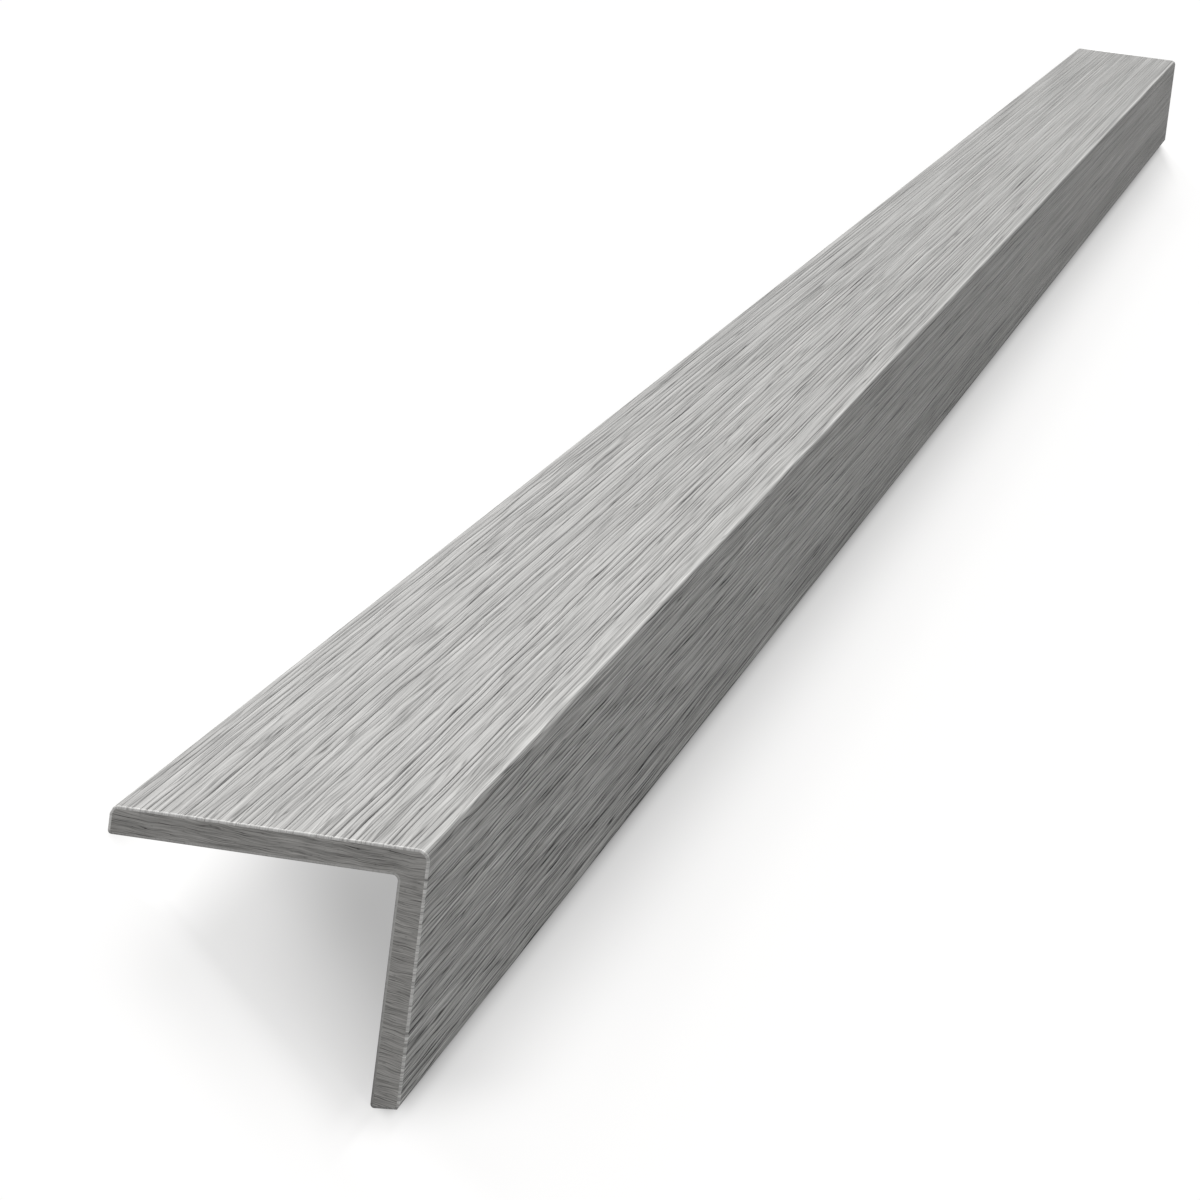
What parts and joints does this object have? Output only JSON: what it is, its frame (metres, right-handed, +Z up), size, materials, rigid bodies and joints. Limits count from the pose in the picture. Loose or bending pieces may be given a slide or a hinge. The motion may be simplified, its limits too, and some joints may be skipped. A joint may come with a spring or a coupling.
{
  "type": "corner trim profile",
  "caption": "Straight, solid L-section corner trim with a wide and a narrow leg, a rounded outer corner and embossed wood grain, in light grey wood-plastic composite.",
  "frame": {"origin": "middle of the bounding box's base: at floor height under the middle of the length, halfway between the two tips' outermost edges", "axes": "+Y along the length, +Z up, with the outer corner uppermost; the wide leg slopes down towards -X and the narrow leg towards +X"},
  "size_m": [0.07, 2.9, 0.0371],
  "materials": {
    "composite": "light grey extruded wood-plastic composite, matt, with brushed and embossed wood grain along the length"
  },
  "bodies": {
    "root": {"trim_profile": "composite"}
  },
  "joints": []
}
